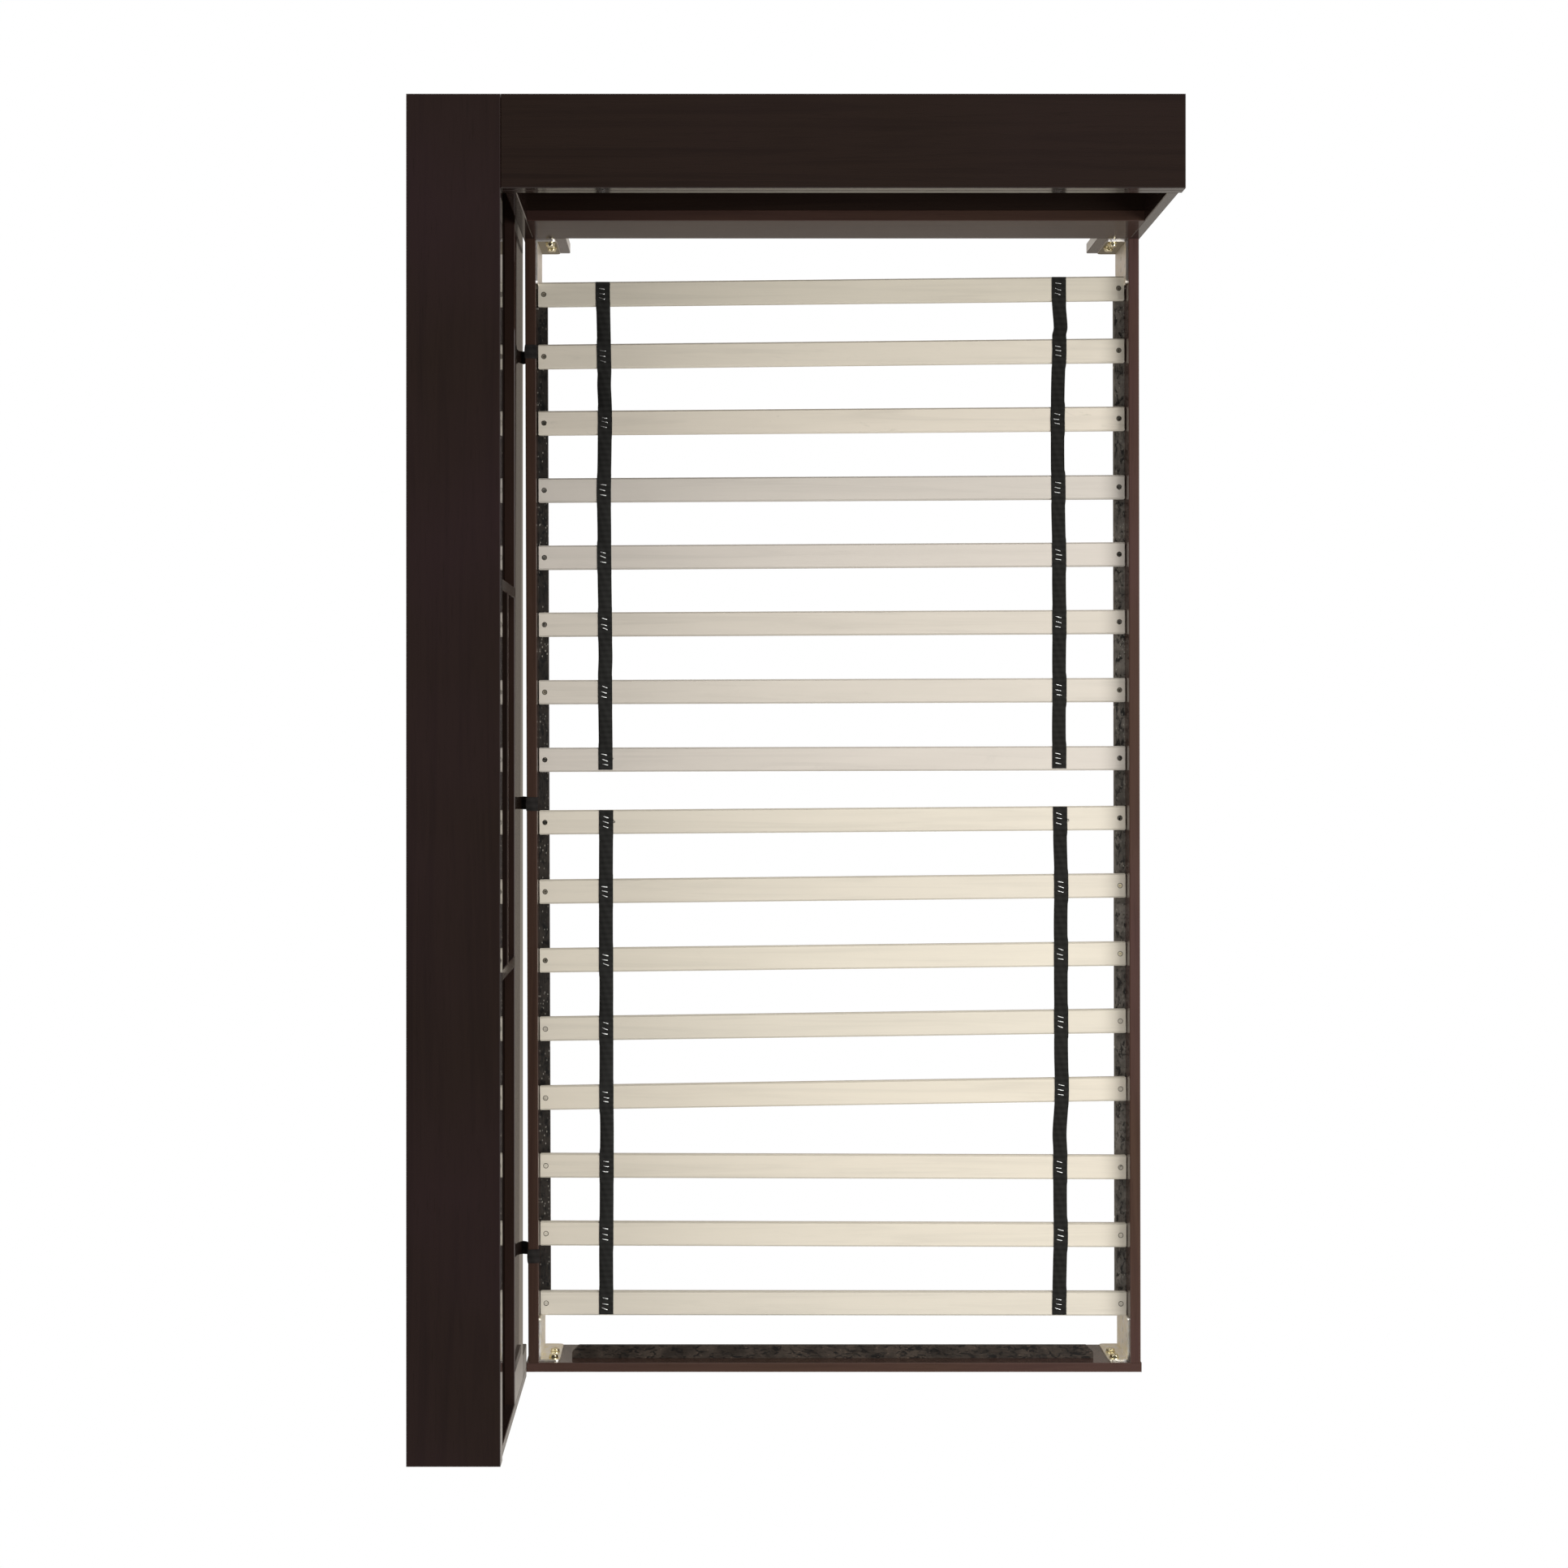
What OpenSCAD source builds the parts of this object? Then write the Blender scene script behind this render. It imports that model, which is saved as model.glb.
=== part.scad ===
// Low platform bed for a twin mattress, standing in an L of open bookcases:
// a side unit along its left side and a head unit across its head.
// Origin at the bottom centre of the whole set. +Z is up, +Y points to the
// head, and the side unit is on the -X side.

/* [Mattress] */
// Width of the mattress that the slats carry
mattress_w = 990; // [900:5:1040]
// Length of the mattress that the slats carry
mattress_l = 1905; // [1880:5:2000]
// Play across the mattress, both sides together
play_w = 27; // [24:1:34]
// Play along the mattress, both ends together
play_l = 26; // [24:1:34]

/* [Bookcases] */
// Height of the bookcase tops above the floor
total_h = 520; // [500:5:560]
// Depth of both bookcases, front to back
unit_d = 147; // [130:1:200]
// Thickness of the carcass boards
board_t = 18; // [16:1:19]
// Thickness of the back panels
back_t = 6; // [4:1:8]
// Gap between the front of the side unit and the left rail
side_gap = 11; // [8:1:20]
// How far the side unit runs past the footboard
foot_reach = 46; // [30:1:120]
// Overhang of the head unit's top past its end panels
head_overhang = 4; // [2:1:6]
// Overhang of the side unit's top past its end panels
side_overhang = 5; // [2:1:12]
// Clear height of the head unit's niche
head_niche_h = 207; // [180:1:220]
// Clear height of the side unit's niches
side_niche_h = 234; // [220:1:240]
// Height of the panel under the head unit's niche
head_panel_h = 146; // [120:1:150]
// Height of the panel under the side unit's niches
side_panel_h = 169; // [140:1:175]
// Length of the side unit's middle niche
middle_niche_l = 598; // [400:1:700]
// Height of the shelf's top above the middle niche's floor
shelf_rise = 136; // [80:1:160]
// Width of the head unit's front legs
head_leg_w = 55; // [50:1:80]
// Width of the side unit's front legs
side_leg_w = 40; // [30:1:60]

/* [Bed] */
// Thickness of the side rails
rail_t = 18; // [16:1:22]
// Height of the side rails
rail_h = 127; // [120:1:130]
// Thickness of the footboard
foot_t = 16; // [14:1:20]
// Overhang of the footboard past the rails' true lines, once on the left, twice on the right
foot_overhang = 1.5; // [1:0.25:2]
// Depth of the slat tops below the rail tops
slat_drop = 32; // [28:1:40]
// Width of each slat
slat_w = 42; // [36:1:50]
// Thickness of each slat
slat_t = 12; // [10:1:14]
// Spacing of the slats along the bed
slat_pitch = 117.5; // [112:0.5:118]
// Spacing of the two middle slats, between the two slat rolls
roll_gap = 106; // [100:1:114]
// How much of the hand-laid unevenness of the slats is kept
slat_unevenness = 1; // [0:0.1:1]
// How much of the rails' stray from their true lines is kept
rail_unevenness = 1; // [0:0.1:1]
// Width of the slat supports on the rails
ledger_w = 17; // [16:1:24]
// Height of the slat supports on the rails
ledger_h = 20; // [20:1:45]
// Depth of the mattress ledge on the footboard
ledge_d = 22; // [16:1:26]
// Length of the mattress ledge on the footboard
ledge_l = 902; // [700:1:905]

/* [Straps] */
// Width of the webbing that spaces the slats
strap_w = 25; // [20:1:30]
// Thickness of the webbing
strap_t = 1.5; // [1:0.1:2]
// Distance of the webbing from the bed's centre line
strap_x = 393.5; // [300:0.5:420]
// Width of the ties between the left rail and the side unit
tie_w = 24; // [20:1:30]
// Spacing of the ties
tie_pitch = 777; // [600:1:800]

/* [Hardware] */
// Long leg of the corner brackets, on the rail
bracket_long = 75; // [70:1:80]
// Short leg of the corner brackets
bracket_short = 35; // [32:1:36]
// Height of the corner brackets
bracket_h = 112; // [108:1:112]
// Sheet thickness of the corner brackets
bracket_t = 2.5; // [2:0.1:3]
// Thread diameter of the bracket bolts
bolt_d = 8; // [6:1:8]
// Spacing of the two bolts in a corner
bolt_pitch = 41; // [36:1:44]
// Height of the floor glides
glide_h = 3; // [2:0.5:4]

/* [Hidden] */
$fn = 24;
slat_count = 16;
roll_count = slat_count / 2;
ease = 1.2;
slat_ease = 2.5;
slat_end_ease = 0.8;
slat_corner = 1.6;
seam = 0.5;
bed_w = mattress_w + play_w;
bed_l = mattress_l + play_l;
total_w = unit_d + side_gap + 2 * rail_t + bed_w + head_overhang;
total_l = unit_d + bed_l + foot_t + foot_reach;

// Places across the set, from the side unit's back to the head unit's end
side_x0 = -total_w / 2;
side_x1 = side_x0 + unit_d;
left_x0 = side_x1 + side_gap;
left_x1 = left_x0 + rail_t;
right_x0 = left_x1 + bed_w;
right_x1 = right_x0 + rail_t;
head_x0 = side_x1 + seam;
head_x1 = total_w / 2;
case_x0 = head_x0 + head_overhang;
case_x1 = head_x1 - head_overhang;
bed_x = (left_x1 + right_x0) / 2;

// Places along the set, from the side unit's foot end to the head unit's back
side_y1 = total_l / 2;
side_y0 = -side_y1;
head_y1 = side_y1;
head_y0 = head_y1 - unit_d;
foot_y1 = head_y0 - bed_l;
foot_y0 = foot_y1 - foot_t;
end_y = side_y1 - side_overhang;

// Heights
case_z1 = total_h - board_t;
case_z0 = case_z1 - board_t;
head_floor_z = case_z0 - head_niche_h;
side_floor_z = case_z0 - side_niche_h;
head_skirt_z = head_floor_z - head_panel_h;
side_skirt_z = side_floor_z - side_panel_h;
rail_z = glide_h + rail_h;
slat_z1 = rail_z - slat_drop;
slat_z0 = slat_z1 - slat_t;
ledger_z0 = slat_z0 - ledger_h;

// The rails lean a little: how far the left and the right one stray from their
// true lines, each at its head end and at its foot end
rail_stray = [[-3.8, 2.2], [-1.9, 1.3]] * rail_unevenness;
function stray_of(side) = rail_stray[side < 0 ? 0 : 1];
function rail_off(side, y) = stray_of(side)[0]
    + (stray_of(side)[1] - stray_of(side)[0]) * (head_y0 - y) / bed_l;
function rail_lean(side) = asin((stray_of(side)[1] - stray_of(side)[0]) / bed_l);

// Slats, counted from the head: where each one sits and how far it is askew
slat_8_y = 29;
slat_nudge = [-13, -3, -2, -2, -1, 0, 0, 0, 0, -1, -2, -2, -3, -12, -12, -14];
slat_skew = [11, 11, 8, 6, 6, 5, 4, 3, 8, 11, 12, 14, 16, -3, -3, -1];
slat_play = 0.75;
slat_l = bed_w - 2 * slat_play;
function slat_row(i) = slat_8_y + (i < roll_count
    ? (roll_count - 1 - i) * slat_pitch
    : -roll_gap - (i - roll_count) * slat_pitch);
function slat_y(i) = slat_row(i) + slat_unevenness * slat_nudge[i];
function slat_x(i) = bed_x + (rail_off(-1, slat_y(i)) + rail_off(1, slat_y(i))) / 2;
function slat_turn(i) = asin(slat_unevenness * slat_skew[i] / slat_l);
function screw_y(i, side) = slat_y(i) + side * screw_reach * tan(slat_turn(i));

// Fasteners
screw_r = 2;
screw_head_r = 4;
screw_head_h = 2.2;
screw_l = 28;
screw_inset = 10.3;
screw_reach = slat_l / 2 - screw_inset;
insert_r = 6;
insert_l = 13;
washer_r = 8.5;
washer_t = 1.5;
bolt_head_r = 7.4;
bolt_head_h = 5.3;
bolt_l = 14;
dowel_r = 4;
dowel_l = 30;
dowel_deep = 11;
bolt_low_z = glide_h + 63;
bracket_z = rail_z - bracket_h - 12;
bracket_r = 8;
bolt_reach = 24;
staple_l = 9.5;
staple_t = 0.7;
staple_pitch = 8.5;
staple_shift = 1.5;
staple_turn = 14;
glide_r = 7;
ledge_t = 8;
ledge_corner = 12;
tie_tail = 12;
tie_slack = 0.1;
tie_low_z = 60;
tie_up_z = 120;
tie_y = -48;
ledger_y1 = head_y0 - bracket_long - 3;
ledger_y0 = foot_y1 + bracket_long + 3;
foot_ledge_screws = [[-344, 0], [-86, 2], [86, 0], [344, 0]];
ledger_screws_each = 6;

function slat_name(i) = str("slat_", i < 9 ? "0" : "", i + 1);

// Colours
espresso = [0.17, 0.12, 0.10];
back_brown = [0.20, 0.15, 0.12];
slat_wood = [0.83, 0.79, 0.71];
rough_black = [0.15, 0.14, 0.13];
webbing_black = [0.13, 0.13, 0.13];
tie_grey = [0.30, 0.29, 0.29];
zinc = [0.78, 0.75, 0.62];
steel = [0.60, 0.60, 0.58];
beech = [0.80, 0.66, 0.46];
felt = [0.35, 0.33, 0.30];

// Directions a fastener can point in, as rotations of +Z
UP = [0, 0, 0];
DOWN = [180, 0, 0];
TO_HEAD = [-90, 0, 0];
TO_FOOT = [90, 0, 0];
TO_RIGHT = [0, 90, 0];
TO_LEFT = [0, -90, 0];

// Dowels: the tip buried in the face of one board, and the way to the other
side_dowel_x = [side_x0 + back_t + 30, side_x1 - 30];
divider_y = (middle_niche_l + board_t) / 2;
shelf_z = side_floor_z + shelf_rise - board_t / 2;
side_joint_dowels = [
    for (x = side_dowel_x) for (end = [-1, 1]) for (spot = [
        [[x, end * (end_y - board_t / 2), case_z0 + dowel_deep], DOWN],
        [[x, end * divider_y, case_z0 + dowel_deep], DOWN],
        [[x, end * divider_y, side_floor_z - dowel_deep], UP],
        [[x, end * (end_y - board_t + dowel_deep), side_floor_z - board_t / 2],
            end > 0 ? TO_FOOT : TO_HEAD],
        [[x, end * (middle_niche_l / 2 + dowel_deep), shelf_z], end > 0 ? TO_FOOT : TO_HEAD]
    ]) spot];
side_panel_dowels = [
    for (end = [-1, 1]) for (up = [0.3, 0.7])
        [[side_x1 - board_t / 2, end * (end_y - board_t + dowel_deep),
          side_skirt_z + up * side_panel_h], end > 0 ? TO_FOOT : TO_HEAD]];
side_dowels = concat(side_joint_dowels, side_panel_dowels);

head_dowel_y = [head_y0 + board_t + 14, head_y1 - back_t - 30];
head_joint_dowels = [
    for (y = head_dowel_y) for (spot = [
        [[case_x0 + board_t / 2, y, case_z0 + dowel_deep], DOWN],
        [[case_x1 - board_t / 2, y, case_z0 + dowel_deep], DOWN],
        [[case_x0 + board_t - dowel_deep, y, head_floor_z - board_t / 2], TO_RIGHT],
        [[case_x1 - board_t + dowel_deep, y, head_floor_z - board_t / 2], TO_LEFT]
    ]) spot];
head_panel_dowels = [
    for (up = [0.3, 0.7]) for (right = [false, true])
        [[right ? case_x1 - board_t + dowel_deep : case_x0 + board_t - dowel_deep,
          head_y0 + board_t / 2, head_skirt_z + up * head_panel_h],
         right ? TO_LEFT : TO_RIGHT]];
head_dowels = concat(head_joint_dowels, head_panel_dowels);

// Screws: the middle of the head's outer face, the way it points, its length
side_top_screws = [for (y = [-900, -500, 0, 500, 900])
    [[(side_x0 + side_x1) / 2, y, case_z0], UP, screw_l]];
head_top_screws = [for (x = [-0.38, 0, 0.38] * (case_x1 - case_x0))
    [[(case_x0 + case_x1) / 2 + x, (head_y0 + head_y1) / 2, case_z0], UP, screw_l]];
function slat_screw_row(side) = [for (i = [0 : slat_count - 1])
    [[slat_x(i) + side * screw_reach, screw_y(i, side), slat_z1], DOWN, screw_l]];
ledger_gap_y = (ledger_y1 - ledger_y0) / ledger_screws_each;
function ledger_screw_y(i) = ledger_y0 + (i + 0.55) * ledger_gap_y;
function ledger_screw_row(side) = [for (i = [0 : ledger_screws_each - 1])
    [[bed_x + side * (bed_w / 2 - ledger_w) + rail_off(side, ledger_screw_y(i)),
      ledger_screw_y(i), ledger_z0 + ledger_h / 4], side > 0 ? TO_RIGHT : TO_LEFT, screw_l]];
ledge_screws = [for (s = foot_ledge_screws)
    [[bed_x + s[0], foot_y0 - s[1], slat_z1 - ledge_t / 2], TO_HEAD, screw_l]];

// Screws and bolts of one corner bracket, from the corner along its two legs
bracket_screw_l = 16;
bracket_screw_spots = [[22, bolt_low_z], [42, bolt_low_z], [62, bolt_low_z],
                       [42, bolt_low_z + bolt_pitch]];
bolt_zs = [bolt_low_z, bolt_low_z + bolt_pitch];
corners = [[-1, 1], [1, 1], [-1, -1], [1, -1]];

// A plain board, from its ranges along X, Y and Z
module board(x, y, z) {
    translate([x[0], y[0], z[0]])
        cube([x[1] - x[0], y[1] - y[0], z[1] - z[0]]);
}

// A rectangle with its corners eased
module eased_outline(w, h, c) {
    polygon([[c, 0], [w - c, 0], [w, c], [w, h - c], [w - c, h], [c, h], [0, h - c], [0, c]]);
}

// Boards with their four long edges eased, running along X, Y or Z
module board_along_x(x, y, z, c = ease) {
    translate([x[0], y[0], z[0]]) rotate([90, 0, 90])
        linear_extrude(x[1] - x[0]) eased_outline(y[1] - y[0], z[1] - z[0], c);
}
module board_along_y(x, y, z, c = ease) {
    translate([x[0], y[1], z[0]]) rotate([90, 0, 0])
        linear_extrude(y[1] - y[0]) eased_outline(x[1] - x[0], z[1] - z[0], c);
}
module board_along_z(x, y, z, c = ease) {
    translate([x[0], y[0], z[0]])
        linear_extrude(z[1] - z[0]) eased_outline(x[1] - x[0], y[1] - y[0], c);
}

// A level board with its ends eased too
module top_board(x, y, z) {
    intersection() {
        board_along_x(x, y, z);
        board_along_y(x, y, z);
    }
}

// Fasteners: each spot holds a place and a direction
module at_spot(spot) {
    translate(spot[0]) rotate(spot[1]) children();
}
module dowels(spots) {
    for (spot = spots) at_spot(spot) cylinder(h = dowel_l, r = dowel_r);
}
module screws(spots) {
    for (spot = spots) at_spot(spot) {
        cylinder(h = spot[2], r = screw_r);
        cylinder(h = screw_head_h, r1 = screw_head_r, r2 = screw_r);
    }
}

// Side unit
module side_top_board() {
    color(espresso) difference() {
        top_board([side_x0, side_x1], [side_y0, side_y1], [case_z1, total_h]);
        screws(side_top_screws);
    }
}
module side_case_top() {
    color(espresso) difference() {
        top_board([side_x0, side_x1], [side_y0, side_y1], [case_z0, case_z1]);
        dowels(side_dowels);
        screws(side_top_screws);
    }
}
module side_end_panel(end) {
    color(espresso) difference() {
        board_along_z([side_x0 + back_t, side_x1],
            end > 0 ? [end_y - board_t, end_y] : [-end_y, board_t - end_y],
            [glide_h, case_z0]);
        dowels(side_dowels);
    }
}
module side_divider(end) {
    color(espresso) difference() {
        board_along_z([side_x0 + back_t, side_x1],
            [end * divider_y - board_t / 2, end * divider_y + board_t / 2],
            [side_floor_z, case_z0]);
        dowels(side_dowels);
    }
}
module side_middle_shelf() {
    color(espresso) difference() {
        board_along_y([side_x0 + back_t, side_x1], [-middle_niche_l / 2, middle_niche_l / 2],
            [shelf_z - board_t / 2, shelf_z + board_t / 2]);
        dowels(side_dowels);
    }
}
module side_niche_bottom() {
    color(espresso) difference() {
        board([side_x0 + back_t, side_x1 - board_t], [board_t - end_y, end_y - board_t],
            [side_floor_z - board_t, side_floor_z]);
        dowels(side_dowels);
    }
}
module side_front_panel() {
    color(espresso) difference() {
        board_along_y([side_x1 - board_t, side_x1], [board_t - end_y, end_y - board_t],
            [side_skirt_z, side_floor_z]);
        dowels(side_dowels);
    }
}
module side_back_panel() {
    color(back_brown)
        board([side_x0, side_x0 + back_t], [-end_y, end_y], [side_skirt_z, case_z0]);
}
module side_leg(end) {
    inner = end_y - board_t - side_leg_w;
    color(espresso)
        board_along_z([side_x1 - board_t, side_x1],
            end > 0 ? [inner, inner + side_leg_w] : [-inner - side_leg_w, -inner],
            [glide_h, side_skirt_z]);
}

// Head unit
module head_top_board() {
    color(espresso) difference() {
        top_board([head_x0, head_x1], [head_y0, head_y1], [case_z1, total_h]);
        screws(head_top_screws);
    }
}
module head_case_top() {
    color(espresso) difference() {
        top_board([head_x0, head_x1], [head_y0, head_y1], [case_z0, case_z1]);
        dowels(head_dowels);
        screws(head_top_screws);
    }
}
module head_end_panel(x0) {
    color(espresso) difference() {
        board_along_z([x0, x0 + board_t], [head_y0, head_y1 - back_t], [glide_h, case_z0]);
        dowels(head_dowels);
    }
}
module head_niche_bottom() {
    color(espresso) difference() {
        board([case_x0 + board_t, case_x1 - board_t], [head_y0 + board_t, head_y1 - back_t],
            [head_floor_z - board_t, head_floor_z]);
        dowels(head_dowels);
    }
}
module head_front_panel() {
    color(espresso) difference() {
        board_along_x([case_x0 + board_t, case_x1 - board_t], [head_y0, head_y0 + board_t],
            [head_skirt_z, head_floor_z]);
        dowels(head_dowels);
    }
}
module head_back_panel() {
    color(back_brown)
        board([case_x0, case_x1], [head_y1 - back_t, head_y1], [head_skirt_z, case_z0]);
}
module head_leg(x0) {
    color(espresso) difference() {
        board_along_z([x0, x0 + head_leg_w], [head_y0, head_y0 + board_t],
            [glide_h, head_skirt_z]);
        insert_bores();
    }
}

// Bed frame
// Lets a board that is drawn too long lean with its rail, and cuts its ends square
module lean(side, y) {
    middle = (y[0] + y[1]) / 2;
    intersection() {
        translate([rail_off(side, middle), middle, 0]) rotate([0, 0, rail_lean(side)])
            translate([0, -middle, 0]) children();
        board([left_x0 - rail_t, right_x1 + rail_t], y, [0, total_h]);
    }
}
module rail(x0, side) {
    color(espresso) difference() {
        lean(side, [foot_y1, head_y0])
            board_along_y([x0, x0 + rail_t], [foot_y1 - 9, head_y0 + 9], [glide_h, rail_z]);
        screws(ledger_screw_row(side));
        bracket_screws();
    }
}
module footboard() {
    color(espresso) difference() {
        top_board([left_x0 - foot_overhang, right_x1 + 2 * foot_overhang], [foot_y0, foot_y1],
            [glide_h, rail_z]);
        insert_bores();
        screws(ledge_screws);
    }
}
module ledger(x0, side) {
    color(rough_black) difference() {
        lean(side, [ledger_y0, ledger_y1])
            board([x0, x0 + ledger_w], [ledger_y0 - 9, ledger_y1 + 9], [ledger_z0, slat_z0]);
        screws(ledger_screw_row(side));
        screws(slat_screw_row(side));
    }
}
// The mattress ledge, with the two corners away from the footboard cut off
module foot_ledge() {
    color(rough_black) difference() {
        translate([bed_x - ledge_l / 2, foot_y1, slat_z1 - ledge_t]) linear_extrude(ledge_t)
            polygon([[0, 0], [ledge_l, 0], [ledge_l, ledge_d - ledge_corner],
                     [ledge_l - ledge_corner, ledge_d], [ledge_corner, ledge_d],
                     [0, ledge_d - ledge_corner]]);
        screws(ledge_screws);
    }
}

// Slats and their webbing
module slat_blank(x, y, z) {
    intersection() {
        board_along_x(x, y, z, slat_ease);
        board_along_y(x, y, z, slat_end_ease);
        board_along_z(x, y, z, slat_corner);
    }
}
module slat(i) {
    color(slat_wood) difference() {
        translate([slat_x(i), slat_y(i), 0]) rotate([0, 0, slat_turn(i)])
            slat_blank([-slat_l / 2, slat_l / 2], [-slat_w / 2, slat_w / 2],
                [slat_z0, slat_z1]);
        screws([for (side = [-1, 1]) slat_screw_row(side)[i]]);
    }
}
module slat_webbing(first) {
    last = first + roll_count - 1;
    color(webbing_black) for (x = [bed_x - strap_x, bed_x + strap_x])
        board([x - strap_w / 2, x + strap_w / 2],
            [slat_y(last) - slat_w / 2, slat_y(first) + slat_w / 2],
            [slat_z1, slat_z1 + strap_t]);
}
// Three staples hold each strap to each slat
module webbing_staples() {
    color(steel) for (i = [0 : slat_count - 1]) for (side = [-1, 1]) for (k = [-1, 0, 1]) {
        translate([bed_x + side * strap_x - staple_shift,
                   slat_y(i) + side * strap_x * tan(slat_turn(i)) + k * staple_pitch,
                   slat_z1 + strap_t])
            rotate([0, 0, -staple_turn])
                translate([-staple_l / 2, -staple_t / 2, 0])
                    cube([staple_l, staple_t, staple_t]);
    }
}
module slat_screws() {
    color(zinc) for (side = [-1, 1]) screws(slat_screw_row(side));
}
module ledger_screws() {
    color(steel) {
        for (side = [-1, 1]) screws(ledger_screw_row(side));
        screws(ledge_screws);
    }
}

// Corner hardware, drawn for the corner where +X and +Y both lead inwards.
// A bracket touches its leaning rail at one end of its long leg.
function corner_y(corner) = corner[1] > 0 ? head_y0 : foot_y1;
function corner_offs(corner) = [for (along = [0, bracket_long])
    rail_off(corner[0], corner_y(corner) - corner[1] * along)];
function corner_x(corner) = corner[0] < 0
    ? left_x1 + max(corner_offs(corner)) : right_x0 + min(corner_offs(corner));
module at_corner(corner) {
    translate([corner_x(corner), corner_y(corner), 0]) turn_to_corner(corner) children();
}
module turn_to_corner(corner) {
    if (corner[0] > 0 && corner[1] > 0) rotate([0, 0, 180]) children();
    else if (corner[0] > 0) mirror([1, 0, 0]) children();
    else if (corner[1] > 0) mirror([0, 1, 0]) children();
    else children();
}
// One leg of a bracket, with the two corners at its free end rounded
module bracket_outline(l) {
    square([l - bracket_r, bracket_h]);
    translate([0, bracket_r]) square([l, bracket_h - 2 * bracket_r]);
    for (z = [bracket_r, bracket_h - bracket_r])
        translate([l - bracket_r, z]) circle(bracket_r);
}
module corner_bracket(corner) {
    color(zinc) difference() {
        at_corner(corner) translate([0, 0, bracket_z]) {
            rotate([90, 0, 90]) linear_extrude(bracket_t) bracket_outline(bracket_long);
            translate([0, bracket_t, 0]) rotate([90, 0, 0])
                linear_extrude(bracket_t) bracket_outline(bracket_short);
        }
        bracket_screws();
        at_corner(corner) for (z = bolt_zs)
            translate([bolt_reach, -1, z]) rotate(TO_HEAD)
                cylinder(h = bracket_t + 2, r = bolt_d / 2);
    }
}
module bracket_screws() {
    color(steel) for (corner = corners) at_corner(corner)
        screws([for (s = bracket_screw_spots)
            [[bracket_t, s[0], s[1]], TO_LEFT, bracket_screw_l]]);
}
// Repeats its children at every bolt, with +Z pointing out of the bed's end
module at_bolts() {
    for (corner = corners) at_corner(corner) for (z = bolt_zs)
        translate([bolt_reach, 0, z]) rotate(TO_FOOT) children();
}
module insert_bores() {
    at_bolts() cylinder(h = insert_l, r = insert_r);
}
module insert_nuts() {
    color(zinc) at_bolts() difference() {
        cylinder(h = insert_l, r = insert_r);
        translate([0, 0, -1]) cylinder(h = insert_l + 2, r = bolt_d / 2);
    }
}
module bracket_bolts() {
    color(zinc) at_bolts() translate([0, 0, -bracket_t - washer_t]) {
        cylinder(h = bolt_l, r = bolt_d / 2);
        translate([0, 0, -bolt_head_h]) cylinder(h = bolt_head_h, r = bolt_head_r, $fn = 6);
    }
}
module bracket_washers() {
    color(zinc) at_bolts() translate([0, 0, -bracket_t - washer_t]) difference() {
        cylinder(h = washer_t, r = washer_r);
        translate([0, 0, -1]) cylinder(h = washer_t + 2, r = bolt_d / 2);
    }
}

// Each tie goes over the left rail, hangs in the gap and comes up behind the
// side unit's front panel. It lies loosely over the rail, which leans.
module tie_straps() {
    panel_x = side_x1 - board_t;
    color(tie_grey) for (k = [-1, 0, 1])
        translate([0, tie_y + k * tie_pitch + tie_w / 2, 0]) rotate([90, 0, 0])
            linear_extrude(tie_w)
                tie_outline(panel_x, left_x0 + rail_off(-1, tie_y + k * tie_pitch) - tie_slack,
                    left_x1 + rail_off(-1, tie_y + k * tie_pitch) + tie_slack);
}
module tie_outline(panel_x, out_x, in_x) {
    polygon([
        [in_x, rail_z - tie_tail], [in_x, rail_z], [out_x, rail_z],
        [out_x, tie_low_z - strap_t], [panel_x - strap_t, tie_low_z - strap_t],
        [panel_x - strap_t, tie_up_z], [panel_x, tie_up_z], [panel_x, tie_low_z],
        [out_x - strap_t, tie_low_z], [out_x - strap_t, rail_z + strap_t],
        [in_x + strap_t, rail_z + strap_t], [in_x + strap_t, rail_z - tie_tail]]);
}
module floor_glides() {
    side_glides = [for (end = [-1, 1]) for (spot = [
        [side_x0 + back_t + 25, end * (end_y - board_t / 2)],
        [side_x1 - 25, end * (end_y - board_t / 2)],
        [side_x1 - board_t / 2, end * (end_y - board_t - side_leg_w / 2)]]) spot];
    head_glides = [for (x = [case_x0 + board_t / 2, case_x1 - board_t / 2])
        [x, head_y1 - back_t - 25]];
    leg_glides = [for (x = [case_x0 + board_t + head_leg_w / 2,
                            case_x1 - board_t - head_leg_w / 2])
        [x, head_y0 + board_t / 2]];
    rail_glides = [for (side = [-1, 1])
        for (y = [foot_y1 + 60, (foot_y1 + head_y0) / 2, head_y0 - 60])
            [bed_x + side * (bed_w + rail_t) / 2 + rail_off(side, y), y]];
    foot_glides = [for (x = [-300, 300]) [bed_x + x, (foot_y0 + foot_y1) / 2]];
    color(felt)
        for (p = concat(side_glides, head_glides, leg_glides, rail_glides, foot_glides))
            translate([p[0], p[1], 0]) cylinder(h = glide_h, r = glide_r);
}
module case_dowels() {
    color(beech) dowels(concat(side_dowels, head_dowels));
}
module top_board_screws() {
    color(steel) screws(concat(side_top_screws, head_top_screws));
}

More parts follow.
